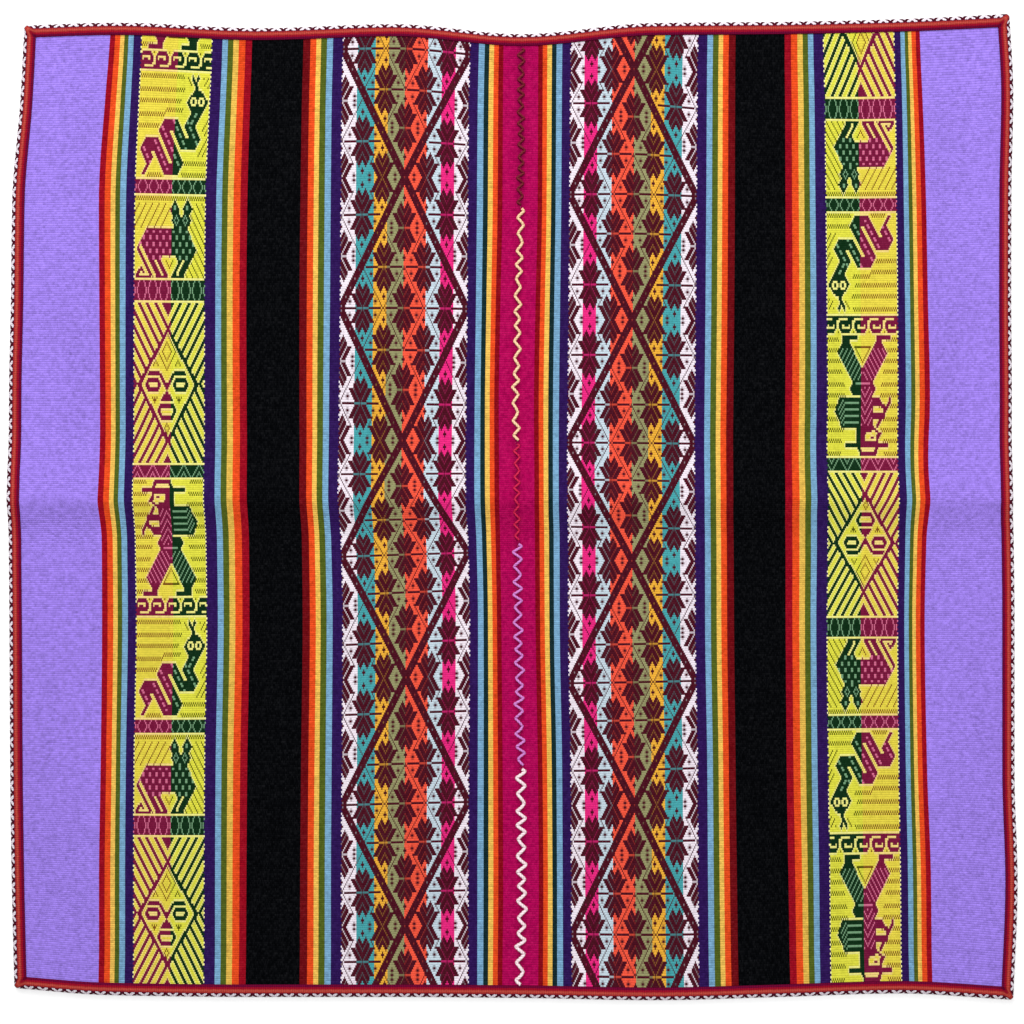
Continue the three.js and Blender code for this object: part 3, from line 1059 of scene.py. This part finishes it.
def yarn_finish(name, yarn):
    """Plied seam yarn, with its fibres running round the ply."""
    finish = Finish(name, 0.6, 0.12)
    around, along = finish.flat_map("weave")
    fibre = finish.noise(finish.point(around * 3 + along * 1.2, along * 0.35), 2.0, 3.0)
    ply = abs((around * 2 + along * 0.55).fraction() * 2 - 1)
    # Painted shade and highlight: lighter on each ply's crown, darker in the groove between plies; the
    # fibre noise varies the tone
    painted_shade_and_tone = 0.72 + (fibre - 0.5) * 0.6 + (1 - ply ** 2) * 0.25
    colour = finish.scaled((*colour_of(yarn), 1), painted_shade_and_tone)
    return finish.show(colour, fibre * 0.5 + (1 - ply ** 2), 0.0003, 0.8)


def tube_piece(name, rings, closed, maps):
    """A mesh of rings of points, each joined to the next, with a UV pair for each corner."""
    count, around = rings.shape[:2]
    index = np.arange(count * around).reshape(count, around)
    faces, uvs = [], []
    for i in range(count if closed else count - 1):
        after = (i + 1) % count
        for j in range(around):
            beside = (j + 1) % around
            faces.append([index[i, j], index[after, j], index[after, beside], index[i, beside]])
            uvs += maps(i, i + 1, j, j + 1)
    if not closed:
        faces.append(list(index[0]))
        uvs += [(j / around, 0.0) for j in range(around)]
        faces.append(list(index[-1][::-1]))
        uvs += [(j / around, 0.0) for j in range(around)]
    return smooth_piece(name, rings.reshape(-1, 3), faces, uvs)


# The edging's section: how far in from the outer line, and how high
EDGING_SECTION = [
    (8.2, 0.05), (8.2, 0.58), (5.6, 0.6), (3, 0.6), (3, 2.6), (5.6, 2.6), (8.2, 2.6), (8.15, 2.78),
    (7.7, 2.95), (6.8, 3.05), (5.8, 3.12), (4.9, 3.2), (4.1, 3.24), (3.3, 3.2), (2.5, 3.06), (1.8, 2.84),
    (1.1, 2.5), (0.5, 2.1), (0.1, 1.6), (0.3, 0.8), (1.1, 0.2), (2.4, 0), (5, 0),
]

# How far apart its sections are, how far out the corners reach, and where the brick red that
# covers a corner's tip ends and fades
EDGING_STEP = 1.6
CORNER_REACH = 10.6
TIP_RED_END = 5.6
TIP_RED_FADE = 4


def edging_piece():
    """The band round the cloth, as one closed ring of sections."""
    wide = EDGING_WIDTH / CLOTH_WIDTH
    across_steps = np.linspace(0, 1, int(CLOTH_WIDTH / EDGING_STEP))[:-1]
    down_steps = np.linspace(HEM_BOTTOM, HEM_TOP, int((HEM_TOP - HEM_BOTTOM) / EDGING_STEP))[:-1]
    one = np.ones(len(down_steps))
    across = np.concatenate([across_steps, one, 1 - across_steps, 0 * one])
    bottom = np.full(len(across_steps), float(HEM_BOTTOM))
    top = np.full(len(across_steps), float(HEM_TOP))
    y = np.concatenate([bottom, down_steps, top, HEM_TOP + HEM_BOTTOM - down_steps])
    inner_across = np.clip(across, wide, 1 - wide)
    inner_y = np.clip(y, HEM_BOTTOM + EDGING_WIDTH, HEM_TOP - EDGING_WIDTH)
    out_across = (across - inner_across) * CLOTH_WIDTH
    out_y = y - inner_y
    shrink = np.minimum(1, CORNER_REACH / np.hypot(out_across, out_y))
    outer_across = inner_across + out_across * shrink / CLOTH_WIDTH
    outer = np.stack(plan_point(outer_across, inner_y + out_y * shrink), -1)
    inner = np.stack(plan_point(inner_across, inner_y), -1)
    rings = []
    for inward, height in EDGING_SECTION:
        place = outer + (inner - outer) * inward / EDGING_WIDTH
        rings.append(np.column_stack([place, crease_height(place[:, 1]) + height]))
    rings = np.stack(rings, axis=1)
    lengths = np.hypot(*np.diff(np.vstack([outer, outer[:1]]), axis=0).T)
    total = lengths.sum()
    repeats = round(total / EYE_REPEAT)
    along = np.concatenate([[0], np.cumsum(lengths)]) * repeats * EYE_REPEAT / total
    inwards = [inward for inward, _ in EDGING_SECTION]
    around = len(inwards)
    from_side = np.minimum(across, 1 - across) * CLOTH_WIDTH
    from_corner = np.hypot(from_side, np.minimum(HEM_TOP - y, y - HEM_BOTTOM))
    tips = EYES_WIDTH * np.clip((TIP_RED_END - from_corner) / TIP_RED_FADE, 0, 1)

    def maps(i0, i1, j0, j1):
        """The brick red reaches right out to each corner's tip."""
        corners = [(i0, j0), (i1, j0), (i1, j1), (i0, j1)]
        return [
            (inwards[j % around] + tips[i % len(y)] * (1 - inwards[j % around] / EDGING_WIDTH), along[i])
            for i, j in corners
        ]

    return tube_piece("edging_band", rings, True, maps)


def stitch_piece(stitch):
    """One yarn's zigzag over the seam, a two-ply tube that dips into the cloth at each turn.

    Slow waves make the turns uneven in length, width and place, as in sewing by hand.
    """
    turns = round((stitch["from"] - stitch["to"]) / stitch["period"])
    share = np.linspace(0, 1, turns * STEPS_A_TURN + 1)
    turn = share * turns
    y = stitch["from"] + (stitch["to"] - stitch["from"]) * share
    x, plan_y = plan_point(np.full(len(y), 0.5), y)
    angle = (turn + 1 / 12) * 2 * np.pi + 0.5 * np.sin(turn * 1.7)
    side = np.arcsin(TURN_SHARPNESS * np.sin(angle)) / math.asin(TURN_SHARPNESS)
    uneven = 1 + 0.18 * np.sin(turn * 2.3) + 0.12 * np.sin(turn * 5.1)
    base = crease_height(plan_y) + edge_lift(0.5, y) + CLOTH_THICKNESS
    radius = stitch["radius"]
    height = base + radius * 0.25 + STITCH_RISE * (1 - side ** 2)
    wander = 0.3 * np.sin(turn * 0.9)
    line = np.column_stack([x + wander + stitch["swing"] * side * uneven, plan_y, height])
    ahead = np.gradient(line, axis=0)
    ahead /= np.linalg.norm(ahead, axis=1)[:, None]
    beside = np.cross(ahead, [0, 0, 1])
    beside /= np.linalg.norm(beside, axis=1)[:, None]
    above = np.cross(beside, ahead)
    lengths = np.linalg.norm(np.diff(line, axis=0), axis=1)
    along = np.concatenate([[0], np.cumsum(lengths)])
    angles = np.arange(YARN_SIDES) / YARN_SIDES * 2 * np.pi
    twist = along[:, None] * PLY_WIND
    lobes = radius * (1 - PLY_GROOVE + PLY_GROOVE * np.abs(np.cos(angles[None, :] - twist)))
    sideways = np.cos(angles)[:, None] * beside[:, None]
    upwards = np.sin(angles)[:, None] * above[:, None]
    offsets = sideways + upwards
    rings = line[:, None] + offsets * lobes[..., None]

    def maps(i0, i1, j0, j1):
        return [(j / YARN_SIDES, along[i]) for i, j in ((i0, j0), (i1, j0), (i1, j1), (i0, j1))]

    return tube_piece("stitches_" + stitch["name"], rings, False, maps)


def add_piece(piece, finish, node):
    """Finishes a piece and puts it in its node's place."""
    piece.data.materials.append(finish)
    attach(piece, "root")
    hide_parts(node)


woven = woven_finish()
for side in ("left", "right"):
    piece = panel_mesh("woven_panel_" + side, side)
    add_piece(piece, woven, "panel_" + side)
edging = edging_piece()
add_piece(edging, edging_finish(), "edging")
stitches = []
for stitch in STITCHES:
    piece = stitch_piece(stitch)
    yarn_name = stitch["name"] + "_yarn"
    yarn = yarn_finish(yarn_name, stitch["name"] + " seam")
    add_piece(piece, yarn, "seam_stitches_" + stitch["name"])
    stitches.append(piece)
[edging] + stitches

# The floor, the light and the camera
bpy.ops.mesh.primitive_plane_add(size=FLOOR_WIDTH, location=(0, 0, -FLOOR_DROP))
floor = bpy.context.object
floor.name = "floor"
paper = bpy.data.materials.new("pale_floor")
paper.use_nodes = True
paper.node_tree.nodes["Principled BSDF"].inputs["Base Color"].default_value = (0.96, 0.96, 0.96, 1)
paper.node_tree.nodes["Principled BSDF"].inputs["Roughness"].default_value = 0.9
floor.data.materials.append(paper)


def area_light(name, place, size, watts):
    """A square softbox that faces the cloth's middle."""
    light = bpy.data.lights.new(name, "AREA")
    light.size = size
    light.energy = watts
    lamp = bpy.data.objects.new(name, light)
    lamp.location = place
    lamp.rotation_euler = (-Vector(place)).to_track_quat("-Z", "Y").to_euler()
    bpy.context.collection.objects.link(lamp)


area_light("softbox_above", (0.2, 0.5, 2.2), 1.6, 42)
area_light("softbox_top_side", (-0.5, 1.8, 1.0), 1.0, 26)
world = bpy.data.worlds.new("soft_room")
world.use_nodes = True
world.node_tree.nodes["Background"].inputs["Color"].default_value = (1, 1, 1, 1)
world.node_tree.nodes["Background"].inputs["Strength"].default_value = 0.34
bpy.context.scene.world = world
bpy.context.scene.view_settings.view_transform = "Standard"

camera_data = bpy.data.cameras.new("camera")
camera_data.sensor_width = SENSOR_WIDTH
camera_data.lens = SENSOR_WIDTH * (CAMERA_HEIGHT - CLOTH_THICKNESS * MM) / VIEW_WIDTH
camera = bpy.data.objects.new("camera", camera_data)
camera.location = (*CAMERA_PLACE, CAMERA_HEIGHT)
bpy.context.collection.objects.link(camera)
bpy.context.scene.camera = camera
